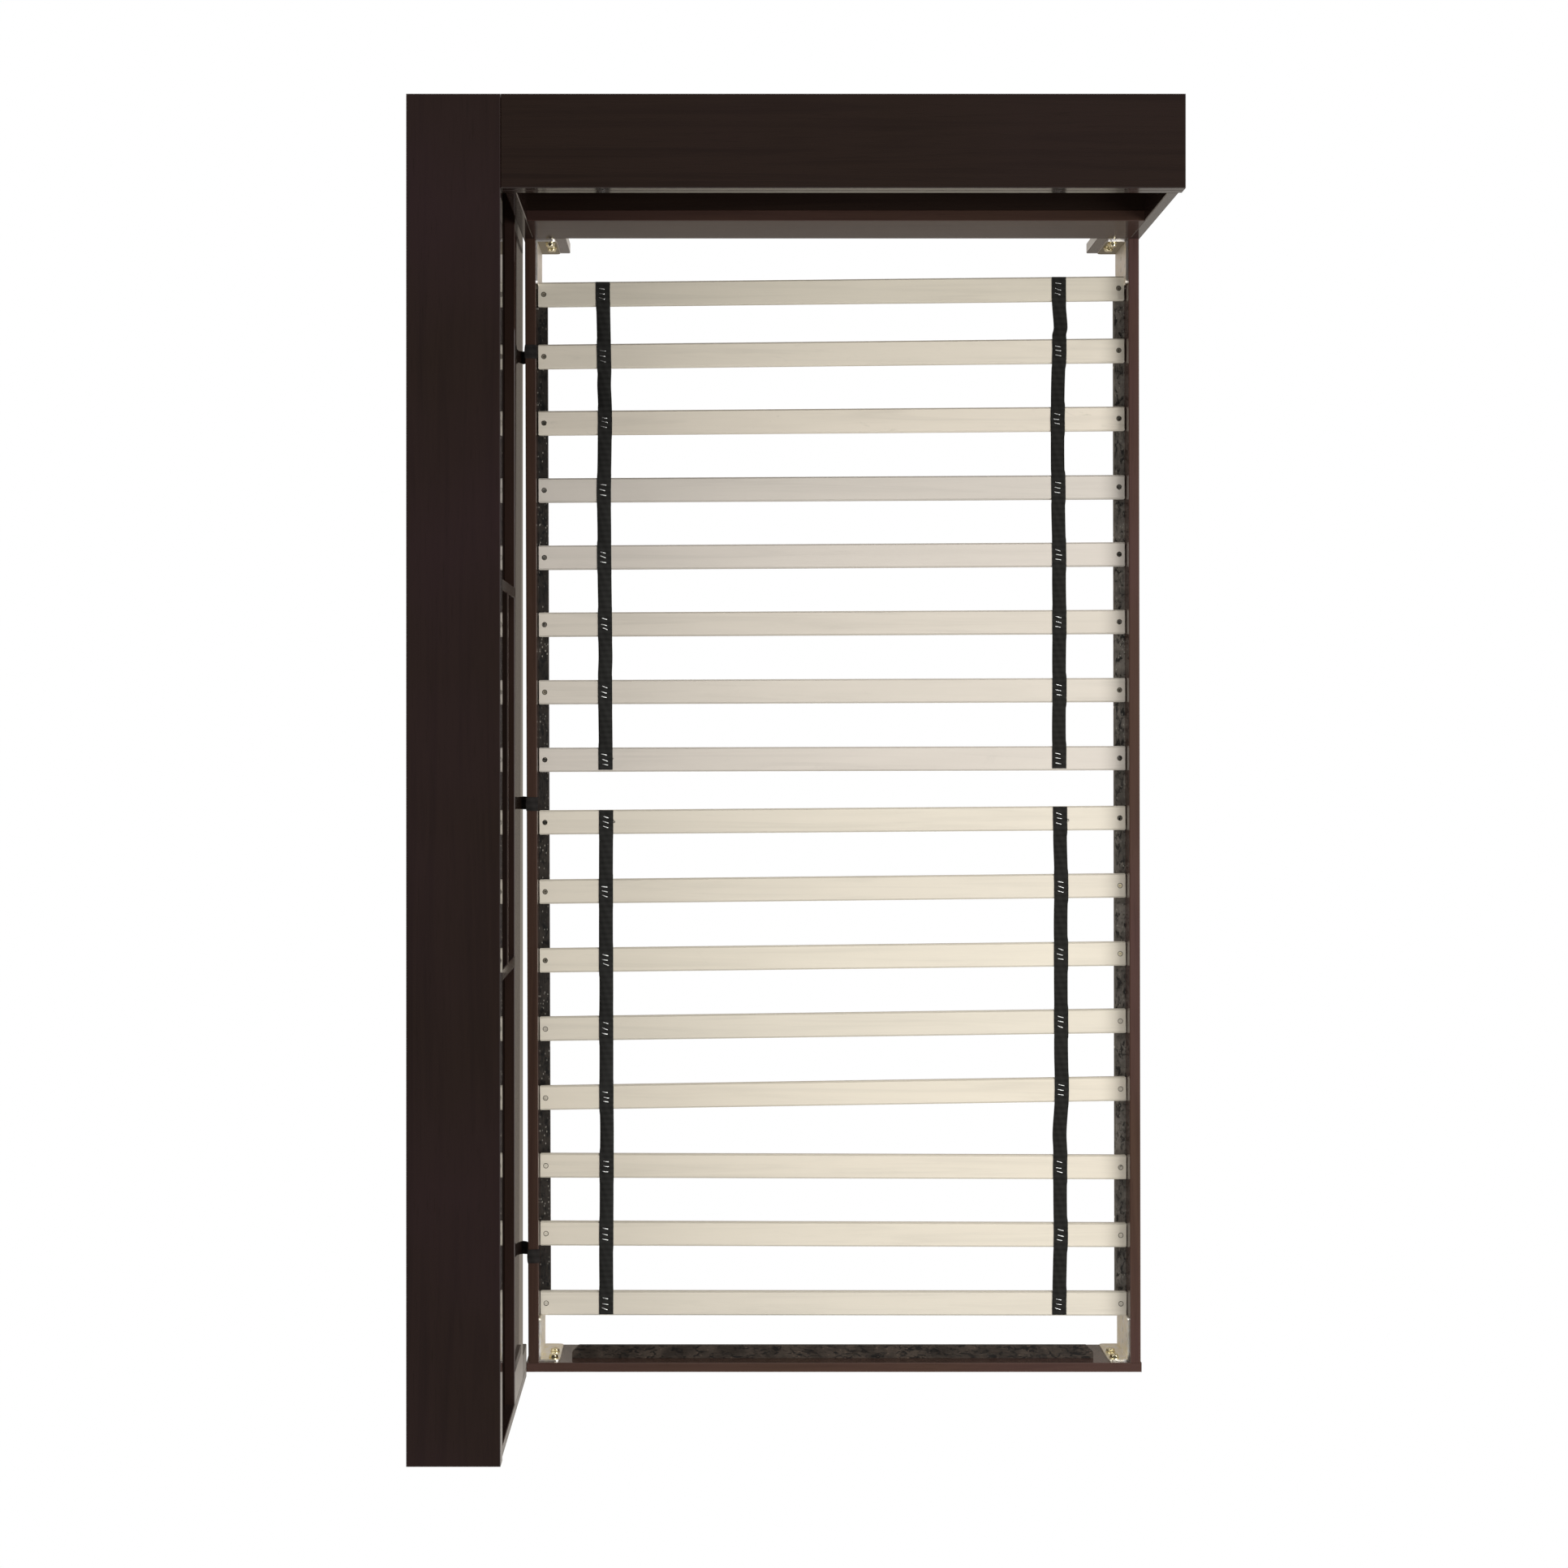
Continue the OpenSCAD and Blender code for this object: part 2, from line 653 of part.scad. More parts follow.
side_top_board();
side_case_top();
side_end_panel(1);  // side_end_panel_head
side_end_panel(-1);  // side_end_panel_foot
side_divider(1);  // side_divider_head
side_divider(-1);  // side_divider_foot
side_middle_shelf();
side_niche_bottom();
side_front_panel();
side_back_panel();
side_leg(1);  // side_leg_head
side_leg(-1);  // side_leg_foot
head_top_board();
head_case_top();
head_end_panel(case_x0);  // head_end_panel_left
head_end_panel(case_x1 - board_t);  // head_end_panel_right
head_niche_bottom();
head_front_panel();
head_back_panel();
head_leg(case_x0 + board_t);  // head_leg_left
head_leg(case_x1 - board_t - head_leg_w);  // head_leg_right
rail(left_x0, -1);  // rail_left
rail(right_x0, 1);  // rail_right
footboard();
ledger(left_x1, -1);  // ledger_left
ledger(right_x0 - ledger_w, 1);  // ledger_right
foot_ledge();
for (i = [0 : slat_count - 1])
    slat(i);
slat_webbing(0);  // slat_webbing_head
slat_webbing(roll_count);  // slat_webbing_foot
webbing_staples();
slat_screws();
ledger_screws();
corner_bracket([-1, 1]);  // bracket_head_left
corner_bracket([1, 1]);  // bracket_head_right
corner_bracket([-1, -1]);  // bracket_foot_left
corner_bracket([1, -1]);  // bracket_foot_right
bracket_bolts();
bracket_washers();
insert_nuts();
bracket_screws();
tie_straps();
floor_glides();
case_dowels();
top_board_screws();
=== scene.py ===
"""Looks for the platform bed with corner bookcases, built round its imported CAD.

The CAD nodes stay where they are and get node materials. Webbing, staples, slat
screws, bracket bolts and ties are rebuilt with the detail that CAD leaves out.
Everything is in metres: +Z up, +Y to the head, -X to the side unit.
"""
import math
import random

import bmesh
import bpy
from mathutils import Matrix, Vector, noise


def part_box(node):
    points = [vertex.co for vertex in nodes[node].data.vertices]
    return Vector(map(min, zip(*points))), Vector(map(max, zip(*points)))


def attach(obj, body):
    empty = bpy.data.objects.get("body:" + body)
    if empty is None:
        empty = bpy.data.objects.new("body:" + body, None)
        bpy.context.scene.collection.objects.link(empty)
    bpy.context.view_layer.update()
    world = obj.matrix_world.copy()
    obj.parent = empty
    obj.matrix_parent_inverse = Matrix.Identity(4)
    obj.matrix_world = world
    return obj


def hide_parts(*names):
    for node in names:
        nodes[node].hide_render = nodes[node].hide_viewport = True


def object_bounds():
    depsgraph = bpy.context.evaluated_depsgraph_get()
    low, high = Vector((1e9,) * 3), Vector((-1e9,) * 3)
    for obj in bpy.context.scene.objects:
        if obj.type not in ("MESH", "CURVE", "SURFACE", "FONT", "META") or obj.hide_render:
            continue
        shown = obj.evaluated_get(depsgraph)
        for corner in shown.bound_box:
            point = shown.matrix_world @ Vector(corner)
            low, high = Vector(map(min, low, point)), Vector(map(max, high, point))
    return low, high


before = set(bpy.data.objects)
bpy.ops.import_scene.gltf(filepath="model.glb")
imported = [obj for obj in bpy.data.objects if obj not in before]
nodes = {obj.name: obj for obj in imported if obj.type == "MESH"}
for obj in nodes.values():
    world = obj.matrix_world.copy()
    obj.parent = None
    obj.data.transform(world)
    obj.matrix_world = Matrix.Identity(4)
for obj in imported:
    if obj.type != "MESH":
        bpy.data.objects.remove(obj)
cad_low, cad_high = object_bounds()
random.seed(16)

MM = 0.001
UP = Vector((0, 0, 1))
ACROSS = Vector((1, 0, 0))
ALONG = Vector((0, 1, 0))


# ---------------------------------------------------------------- materials
class Shader:
    """One node material. Its methods add nodes and return their output sockets."""

    def __init__(self, name):
        self.material = bpy.data.materials.new(name)
        self.material.use_nodes = True
        self.tree = self.material.node_tree
        self.tree.nodes.clear()
        self.out = self.tree.nodes.new("ShaderNodeOutputMaterial")
        self.bsdf = self.add("ShaderNodeBsdfPrincipled")
        self.tree.links.new(self.bsdf.outputs[0], self.out.inputs["Surface"])
        self.place = self.add("ShaderNodeTexCoord").outputs["Object"]

    def add(self, kind, inputs=None, **settings):
        node = self.tree.nodes.new(kind)
        for key, value in settings.items():
            setattr(node, key, value)
        for key, value in (inputs or {}).items():
            self.feed(node.inputs[key], value)
        return node

    def feed(self, socket, value):
        if isinstance(value, bpy.types.NodeSocket):
            self.tree.links.new(value, socket)
        else:
            socket.default_value = value

    def set(self, **values):
        """Sets the main shader's sockets, with _ for a space in their names."""
        for key, value in values.items():
            self.feed(self.bsdf.inputs[key.replace("_", " ")], value)

    def stretched(self, scale, offset=(0, 0, 0)):
        node = self.add("ShaderNodeMapping", {0: self.place})
        node.inputs["Scale"].default_value = scale
        node.inputs["Location"].default_value = offset
        return node.outputs[0]

    def noise(self, vector, scale=1.0, detail=4.0, rough=0.5, warp=0.0):
        settings = {"Vector": vector, "Scale": scale, "Detail": detail,
                    "Roughness": rough, "Distortion": warp}
        return self.add("ShaderNodeTexNoise", settings).outputs[0]

    def cells(self, vector, scale):
        settings = {"Vector": vector, "Scale": scale}
        return self.add("ShaderNodeTexVoronoi", settings).outputs["Distance"]

    def wave(self, vector, scale, direction):
        settings = {"Vector": vector, "Scale": scale}
        return self.add("ShaderNodeTexWave", settings, bands_direction=direction).outputs["Fac"]

    def level(self, value, low, high, to_low=0.0, to_high=1.0):
        settings = {"Value": value, "From Min": low, "From Max": high,
                    "To Min": to_low, "To Max": to_high}
        return self.add("ShaderNodeMapRange", settings).outputs[0]

    def calc(self, operation, first, second=0.0):
        return self.add("ShaderNodeMath", {0: first, 1: second}, operation=operation).outputs[0]

    def mix(self, share, first, second):
        node = self.add("ShaderNodeMix", data_type="RGBA")
        self.feed(node.inputs[0], share)
        self.feed(node.inputs[6], rgba(first))
        self.feed(node.inputs[7], rgba(second))
        return node.outputs[2]

    def ramp(self, value, stops):
        node = self.add("ShaderNodeValToRGB", {0: value})
        elements = node.color_ramp.elements
        while len(elements) < len(stops):
            elements.new(0.5)
        for element, (position, color) in zip(elements, stops):
            element.position = position
            element.color = rgba(color)
        return node.outputs[0]

    def bump(self, height, strength, distance, below=None):
        settings = {"Height": height, "Strength": strength, "Distance": distance}
        if below is not None:
            settings["Normal"] = below
        return self.add("ShaderNodeBump", settings).outputs[0]

    def on_edges(self):
        """1 on eased edges, whose faces lie between the main directions, else 0."""
        normal = self.add("ShaderNodeNewGeometry").outputs["True Normal"]
        size = self.add("ShaderNodeVectorMath", {0: normal}, operation="ABSOLUTE").outputs[0]
        parts = self.add("ShaderNodeSeparateXYZ", {0: size}).outputs
        largest = self.calc("MAXIMUM", self.calc("MAXIMUM", parts[0], parts[1]), parts[2])
        return self.level(largest, 0.97, 0.85)


def rgba(color):
    if isinstance(color, bpy.types.NodeSocket) or len(color) == 4:
        return color
    return (*color, 1.0)


def along_grain(grain, fine, coarse):
    """Texture scale that is coarse along the grain and fine across it."""
    return tuple(coarse if axis == grain else fine for axis in "XYZ")


ESPRESSO_DARK = (0.0085, 0.0044, 0.0030)
ESPRESSO_MID = (0.0125, 0.0068, 0.0045)
ESPRESSO_RED = (0.0165, 0.0076, 0.0084)
ESPRESSO_EDGE_WEAR_AND_HIGHLIGHT = (0.0600, 0.0300, 0.0210)


def espresso(name, grain, seed, red, light, edge, coat, coat_rough=0.10, coat_ior=1.5,
             floor_reflection_sides=False):
    """Dark stained wood under satin lacquer, with its grain along one axis."""
    # `light` scales the stain; on the niche parts it is lowered as painted shade, on the front panels
    # and head legs raised as painted reflection of the floor.
    dark, mid, rosy = (tuple(light * c for c in tone)
                       for tone in (ESPRESSO_DARK, ESPRESSO_MID, ESPRESSO_RED))
    s = Shader(name)
    shift = (seed * 3.7, seed * 5.3, seed * 2.9)
    figure = s.noise(s.stretched(along_grain(grain, 34, 1.3), shift), 1, 6, 0.62, 0.9)
    pores = s.noise(s.stretched(along_grain(grain, 620, 22), shift), 1, 2, 0.5, 0.2)
    cloud = s.noise(s.stretched((2.3, 2.3, 2.3), shift), 1, 3, 0.5)
    skin = s.noise(s.stretched((260, 260, 260), shift), 1, 2, 0.5)
    color = s.ramp(figure, [(0.30, dark), (0.52, mid), (0.72, dark)])
    reddish = s.calc("MULTIPLY", s.level(cloud, 0.35, 0.72), red)
    color = s.mix(reddish, color, rosy)
    color = s.mix(s.level(pores, 0.60, 0.72, 0.0, 0.55), color, dark)
    # Eased edges are lightened: partly real wear, partly a painted highlight.
    worn = s.calc("MULTIPLY", s.on_edges(), s.level(cloud, 0.2, 0.7, 0.5 * edge, edge))
    color = s.mix(worn, color, ESPRESSO_EDGE_WEAR_AND_HIGHLIGHT)
    relief = s.bump(pores, 0.10, 0.0003)
    relief = s.bump(skin, 0.06, 0.0004, relief)
    s.set(Base_Color=color, Roughness=s.level(cloud, 0.3, 0.7, 0.44, 0.54), Normal=relief,
          IOR=1.5, Specular_IOR_Level=0.05, Coat_Weight=coat, Coat_Roughness=coat_rough,
          Coat_IOR=coat_ior)
    # Faces that point along X are painted pale: a painted reflection of the white floor.
    if floor_reflection_sides:
        face = s.add("ShaderNodeNewGeometry").outputs["True Normal"]
        face = s.add("ShaderNodeVectorMath", {0: face}, operation="ABSOLUTE").outputs[0]
        sideways = s.add("ShaderNodeSeparateXYZ", {0: face}).outputs[0]
        painted_floor_reflection = s.mix(s.level(figure, 0.35, 0.65), (0.62, 0.60, 0.57), (0.80, 0.79, 0.77))
        s.set(Base_Color=s.mix(s.level(sideways, 0.86, 0.94), color, painted_floor_reflection))
    return s.material


def bare_wood(name, grain, seed, tone, stain=0.5):
    """Planed pale wood without finish: faint figure, fine fibres and a few stains."""
    s = Shader(name)
    shift = (seed * 2.3, seed * 4.1, seed * 1.7)
    dark = tuple(0.90 * c for c in tone)
    light = tuple(1.03 * c for c in tone)
    figure = s.noise(s.stretched(along_grain(grain, 60, 2.4), shift), 1, 6, 0.6, 1.1)
    fibre = s.noise(s.stretched(along_grain(grain, 900, 24), shift), 1, 3, 0.6)
    cloud = s.noise(s.stretched(along_grain(grain, 14, 4), shift), 1, 4, 0.6, 0.4)
    spots = s.noise(s.stretched(along_grain(grain, 42, 16), shift), 1, 5, 0.65, 0.8)
    color = s.ramp(figure, [(0.28, dark), (0.50, tone), (0.75, light)])
    color = s.mix(s.level(cloud, 0.45, 0.70, 0.0, 0.30), color, dark)
    color = s.mix(s.level(fibre, 0.55, 0.80, 0.0, 0.25), color, dark)
    mould_and_edge_shade = (0.62 * tone[0], 0.64 * tone[1], 0.62 * tone[2])
    color = s.mix(s.level(spots, 0.62, 0.78, 0.0, stain), color, mould_and_edge_shade)
    # Eased edges darkened: painted shade along the slat edges; the same colour also makes the real
    # stains.
    color = s.mix(s.calc("MULTIPLY", s.on_edges(), 0.25), color, mould_and_edge_shade)
    relief = s.bump(fibre, 0.30, 0.0004)
    s.set(Base_Color=color, Roughness=s.level(cloud, 0.3, 0.7, 0.52, 0.66), Normal=relief)
    return s.material


def painted_rough(name, grain, seed, base, chip):
    """Rough-sawn wood under one thin coat of dark paint, with small bare specks."""
    s = Shader(name)
    shift = (seed * 1.9, seed * 3.1, seed * 2.3)
    saw = s.noise(s.stretched(along_grain(grain, 420, 45), shift), 1, 4, 0.65, 0.6)
    patch = s.noise(s.stretched((34, 34, 34), shift), 1, 5, 0.6)
    speck = s.cells(s.stretched(along_grain(grain, 260, 110), shift), 1)
    lighter = tuple(2.1 * c for c in base)
    darker = tuple(0.22 * c for c in base)
    blot = s.noise(s.stretched(along_grain(grain, 120, 60), shift), 1, 4, 0.7, 0.8)
    color = s.mix(s.level(patch, 0.42, 0.62), base, lighter)
    color = s.mix(s.level(saw, 0.54, 0.70, 0.0, 0.8), color, lighter)
    color = s.mix(s.level(blot, 0.50, 0.60), color, darker)
    bare = s.calc("MULTIPLY", s.level(speck, 0.22, 0.10), s.level(patch, 0.42, 0.54))
    color = s.mix(bare, color, chip)
    relief = s.bump(saw, 0.7, 0.0009)
    s.set(Base_Color=color, Roughness=s.level(patch, 0.3, 0.7, 0.42, 0.70), Normal=relief,
          Specular_IOR_Level=0.2)
    return s.material


def webbing(name, base, rib_mm, seed):
    """Woven tape running along Y: ribs across it, a twill lean and a soft sheen."""
    s = Shader(name)
    fuzz = s.noise(s.stretched((900, 900, 900), (seed, 0, 0)), 1, 3, 0.6)
    worn = s.noise(s.stretched((40, 14, 40), (seed, 2, 0)), 1, 3, 0.5)
    per_rib = 1 / (rib_mm * MM)
    ribs = s.wave(s.stretched((0, per_rib / 20, 0)), 1, "Y")
    twill = s.wave(s.stretched((per_rib / 14, per_rib / 40, per_rib / 14)), 1, "DIAGONAL")
    weave = s.calc("ADD", s.calc("MULTIPLY", ribs, 0.6), s.calc("MULTIPLY", twill, 0.4))
    light = tuple(2.0 * c for c in base)
    color = s.mix(s.calc("MULTIPLY", weave, s.level(fuzz, 0.2, 0.8, 0.4, 1.0)), base, light)
    color = s.mix(s.level(worn, 0.45, 0.75, 0.0, 0.35), color, light)
    relief = s.bump(weave, 0.6, 0.0004)
    relief = s.bump(fuzz, 0.25, 0.0002, relief)
    s.set(Base_Color=color, Roughness=0.9, Normal=relief, Specular_IOR_Level=0.0,
          Sheen_Weight=0.01, Sheen_Roughness=0.4)
    return s.material


def plated(name, base, tint, rough, seed, painted_shade_ends=False, metallic=1.0):
    """Plated steel: a tint that comes and goes, faint rolling lines and dull spots."""
    s = Shader(name)
    cloud = s.noise(s.stretched((70, 70, 70), (seed, 0, 0)), 1, 4, 0.6, 0.5)
    lines = s.noise(s.stretched((2600, 2600, 60), (0, seed, 0)), 1, 2, 0.5)
    dull = s.noise(s.stretched((420, 420, 420), (0, 0, seed)), 1, 3, 0.6)
    color = s.mix(s.level(cloud, 0.35, 0.68), base, tint)
    color = s.mix(s.level(dull, 0.60, 0.78, 0.0, 0.5), color, tuple(0.55 * c for c in base))
    relief = s.bump(lines, 0.08, 0.0002)
    # Faces pointing along Y are darkened to a tan: painted shade, a darker reflection painted into the
    # colour.
    if painted_shade_ends:
        face = s.add("ShaderNodeNewGeometry").outputs["True Normal"]
        face = s.add("ShaderNodeVectorMath", {0: face}, operation="ABSOLUTE").outputs[0]
        lengthways = s.add("ShaderNodeSeparateXYZ", {0: face}).outputs[1]
        painted_shade_tint = s.mix(s.level(dull, 0.35, 0.65), (0.20, 0.17, 0.12), (0.30, 0.26, 0.17))
        color = s.mix(s.level(lengthways, 0.86, 0.94), color, painted_shade_tint)
    s.set(Base_Color=color, Metallic=metallic, Normal=relief,
          Roughness=s.level(dull, 0.3, 0.7, rough, rough + 0.16))
    return s.material


def hardboard(name):
    """Brown hardboard backs: felted flecks, matt, with faint cloudy patches."""
    s = Shader(name)
    fleck = s.noise(s.stretched((300, 300, 300)), 1, 5, 0.7, 0.6)
    cloud = s.noise(s.stretched((5, 5, 5)), 1, 3, 0.5)
    color = s.ramp(fleck, [(0.34, (0.014, 0.008, 0.005)), (0.66, (0.072, 0.044, 0.028))])
    color = s.mix(s.level(cloud, 0.38, 0.62, 0.0, 0.65), color, (0.024, 0.014, 0.009))
    s.set(Base_Color=color, Roughness=0.82, Normal=s.bump(fleck, 0.35, 0.0004))
    return s.material


def felt(name):
    """Pressed grey-brown felt."""
    s = Shader(name)
    wool = s.noise(s.stretched((700, 700, 700)), 1, 5, 0.7, 1.2)
    color = s.ramp(wool, [(0.3, (0.06, 0.052, 0.044)), (0.7, (0.16, 0.145, 0.125))])
    s.set(Base_Color=color, Roughness=0.95, Normal=s.bump(wool, 0.8, 0.0006), Sheen_Weight=0.3)
    return s.material


# Grain, how red the stain is, how light, how worn the edges; the coat's weight, roughness, IOR.
# The lightness holds painted light: the niche bottoms and middle shelf are set darker as painted
# shade, the front panels and head legs lighter as painted reflection of the floor. The edge
# lightening is partly real wear and partly a painted highlight.
LACQUERED = {
    "side_top_board": ("Y", 0.75, 0.95, 0.05, 1.0, 0.03, 1.6),
    "side_case_top": ("Y", 0.55, 1.2, 0.3, 1.0, 0.03, 2.0),
    "side_end_panel_head": ("Z", 0.4, 1.0, 0.3, 0.8),
    "side_end_panel_foot": ("Z", 0.5, 1.0, 0.3, 0.8),
    "side_divider_head": ("Z", 0.3, 0.8, 0.3, 0.7), "side_divider_foot": ("Z", 0.3, 0.8, 0.3, 0.7),
    "side_middle_shelf": ("Y", 0.3, 0.7, 0.3, 0.7), "side_niche_bottom": ("Y", 0.3, 0.6, 0.3, 0.5),
    "side_front_panel": ("Y", 0.3, 1.6, 0.4, 1.0, 0.03, 2.2),
    "side_leg_head": ("Z", 0.3, 1.0, 0.3, 0.8), "side_leg_foot": ("Z", 0.3, 1.0, 0.3, 0.8),
    "head_top_board": ("X", 0.2, 0.95, 0.05, 0.8), "head_case_top": ("X", 0.3, 1.0, 0.2, 0.8),
    "head_end_panel_left": ("Z", 0.3, 1.0, 0.3, 0.8),
    "head_end_panel_right": ("Z", 0.3, 1.0, 0.3, 0.8),
    "head_niche_bottom": ("X", 0.05, 0.75, 0.3, 0.4), "head_front_panel": ("X", 0.3, 2.6, 0.3, 0.4),
    "head_leg_left": ("Z", 0.3, 2.4, 0.2, 0.8), "head_leg_right": ("Z", 0.3, 2.4, 0.2, 0.8),
    "rail_left": ("Y", 0.1, 3.0, 0.5, 0.8), "rail_right": ("Y", 0.5, 4.2, 0.9, 0.8),
    "footboard": ("X", 0.5, 3.9, 0.7, 0.8),
}
SLAT_TONES = [
    (0.545, 0.496, 0.403), (0.609, 0.552, 0.454), (0.615, 0.554, 0.458), (0.484, 0.442, 0.386),
    (0.493, 0.448, 0.391), (0.487, 0.441, 0.373), (0.494, 0.449, 0.383), (0.488, 0.444, 0.387),
    (0.540, 0.491, 0.405), (0.538, 0.489, 0.403), (0.560, 0.509, 0.416), (0.535, 0.487, 0.400),
    (0.558, 0.504, 0.410), (0.550, 0.497, 0.405), (0.543, 0.492, 0.401), (0.519, 0.473, 0.390),
]
SLAT_STAINS = [0.2, 0.25, 0.8, 0.1, 0.1, 0.15, 0.15, 0.15,
               0.1, 0.15, 0.15, 0.1, 0.1, 0.15, 0.15, 0.15]
SLATS = [f"slat_{i:02d}" for i in range(1, 17)]


def wear(node, material):
    """Gives a CAD node its material."""
    mesh = nodes[node].data
    mesh.materials.clear()
    mesh.materials.append(material)


zinc = plated("zinc", (0.97, 0.95, 0.91), (0.94, 0.87, 0.68), 0.34, 3)
zinc_painted_shade_ends = plated("zinc_painted_shade_ends", (0.97, 0.94, 0.91), (0.95, 0.88, 0.76), 0.34, 3, True)
screw_dull = plated("screw_dull", (0.11, 0.095, 0.070), (0.22, 0.19, 0.14), 0.50, 12,
                    metallic=0.25)
screw_bright = plated("screw_bright", (0.66, 0.57, 0.38), (0.70, 0.64, 0.48), 0.46, 13, metallic=0.25)
screw_shadow = plated("screw_shadow", (0.030, 0.026, 0.018), (0.05, 0.042, 0.03), 0.60, 14)
brass_zinc = plated("brass_zinc", (0.80, 0.68, 0.38), (0.84, 0.80, 0.62), 0.12, 8)
steel = plated("steel", (0.78, 0.77, 0.74), (0.60, 0.59, 0.56), 0.28, 5)
staple_steel = plated("staple_steel", (0.92, 0.92, 0.90), (0.80, 0.80, 0.78), 0.24, 7)
# Two copies of one webbing; the right one's darker base is painted shade.
black_webbing = {-1: webbing("black_webbing_left", (0.0130, 0.0127, 0.0118), 1.5, 1),
                 1: webbing("black_webbing_right", (0.0110, 0.0106, 0.0096), 1.5, 2)}
grey_webbing = webbing("grey_webbing", (0.0130, 0.0118, 0.0110), 1.8, 4)

for seed, (node, finish) in enumerate(LACQUERED.items(), 1):
    grain, *look = finish
    # The head legs' sideways faces get a painted reflection of the floor.
    floor_reflection_sides = node.startswith("head_leg")
    wear(node, espresso("espresso_" + node, grain, seed, *look, floor_reflection_sides=floor_reflection_sides))
for seed, (node, tone, stain) in enumerate(zip(SLATS, SLAT_TONES, SLAT_STAINS), 1):
    wear(node, bare_wood("pale_" + node, "X", seed, tone, stain))
PAINT_CHIP = (0.30, 0.28, 0.24)
# The two ledgers carry one paint: the left copy's darker base is painted shade and the right copy's
# lighter base painted light.
wear("ledger_left", painted_rough("painted_ledger_left", "Y", 1, (0.0120, 0.0095, 0.0074), PAINT_CHIP))
wear("ledger_right", painted_rough("painted_ledger_right", "Y", 2, (0.078, 0.069, 0.058), PAINT_CHIP))
wear("foot_ledge", painted_rough("painted_foot_ledge", "X", 3, (0.024, 0.0180, 0.0135),
                                 (0.10, 0.07, 0.05)))
back_brown = hardboard("hardboard")
for node in ("side_back_panel", "head_back_panel"):
    wear(node, back_brown)
for node in ("bracket_foot_left", "bracket_foot_right"):
    wear(node, zinc)
# The head brackets carry painted shade on their short legs.
for node in ("bracket_head_left", "bracket_head_right"):
    wear(node, zinc_painted_shade_ends)
for node in ("bracket_washers", "insert_nuts"):
    wear(node, brass_zinc)
for node in ("ledger_screws", "bracket_screws", "top_board_screws"):
    wear(node, steel)
wear("case_dowels", bare_wood("beech_dowels", "Z", 30, (0.60, 0.42, 0.25), 0.1))
wear("floor_glides", felt("felt_glides"))


# ---------------------------------------------------------------- mesh tools
SHARP_ANGLE = math.radians(35)


def as_piece(name, bm, material, slot, *stands_for):
    """Turns a bmesh into a piece of the bed that rides on its one body."""
    bmesh.ops.recalc_face_normals(bm, faces=bm.faces)
    mesh = bpy.data.meshes.new(name)
    bm.to_mesh(mesh)
    bm.free()
    mesh.materials.append(material)
    piece = bpy.data.objects.new(name, mesh)
    bpy.context.scene.collection.objects.link(piece)
    mesh.shade_smooth()
    mesh.set_sharp_from_angle(angle=SHARP_ANGLE)
    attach(piece, "root")
    if stands_for:
        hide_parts(*stands_for)
    return piece


def join_rings(bm, rings, closed_ends=True):
    """Skins rings of vertices with quads, and fills the first and last ring."""
    for one, two in zip(rings, rings[1:]):
        count = len(one)
        for k in range(count):
            bm.faces.new((one[k], one[(k + 1) % count], two[(k + 1) % count], two[k]))
    if closed_ends:
        bm.faces.new(rings[0])
        bm.faces.new(list(reversed(rings[-1])))


def tube(bm, path, half_width, half_height, sides=8, lift=UP):
    """A wire of oval section swept along a path of points."""
    rings = []
    for i, point in enumerate(path):
        ahead = (path[min(i + 1, len(path) - 1)] - path[max(i - 1, 0)]).normalized()
        out = ahead.cross(lift)
        out = out.normalized() if out.length > 1e-6 else ACROSS
        high = out.cross(ahead)
        turns = [2 * math.pi * k / sides for k in range(sides)]
        rings.append([bm.verts.new(point + out * half_width * math.cos(t)
                                   + high * half_height * math.sin(t)) for t in turns])
    join_rings(bm, rings)


def smoothed(t):
    t = min(1.0, max(0.0, t))
    return t * t * (3 - 2 * t)


class Station:
    """One cross-section of a strap: where it is, which way it faces, how it curls."""

    def __init__(self, centre, side, up, width, curl=0.0):
        self.centre, self.side, self.up = centre, side, up
        self.width, self.curl = width, curl


def ribbon(bm, stations, thickness, columns=11, dent=None):
    """A strap with real thickness, thinner selvedges and a curl across its width."""
    rings = []
    for station in stations:
        faces = ([], [])
        for k in range(columns):
            u = 2 * k / (columns - 1) - 1
            angle = station.curl * u
            if abs(station.curl) < 1e-4:
                across, drop = station.width / 2 * u, 0.0
            else:
                radius = station.width / (2 * station.curl)
                across, drop = radius * math.sin(angle), radius * (1 - math.cos(angle))
            normal = station.up * math.cos(angle) + station.side * math.sin(angle)
            point = station.centre + station.side * across - station.up * drop
            half = thickness / 2 * (1 - 0.45 * abs(u) ** 6)
            press = dent(point) if dent else 0.0
            faces[0].append(bm.verts.new(point + normal * (half - press)))
            faces[1].append(bm.verts.new(point - normal * half))
        rings.append(faces[0] + list(reversed(faces[1])))
    join_rings(bm, rings)


def slat_ends(node):
    """Middle of a slat's left end and of its right end, from its own vertices."""
    points = [v.co for v in nodes[node].data.vertices]
    left = min(p.x for p in points)
    right = max(p.x for p in points)
    ends = []
    for x in (left, right):
        ys = [p.y for p in points if abs(p.x - x) < 0.006]
        ends.append(Vector((x, (min(ys) + max(ys)) / 2, max(p.z for p in points))))
    return ends


def on_slat(ends, x):
    """Point on a slat's centre line, on its top, at a given x."""
    return ends[0].lerp(ends[1], (x - ends[0].x) / (ends[1].x - ends[0].x))


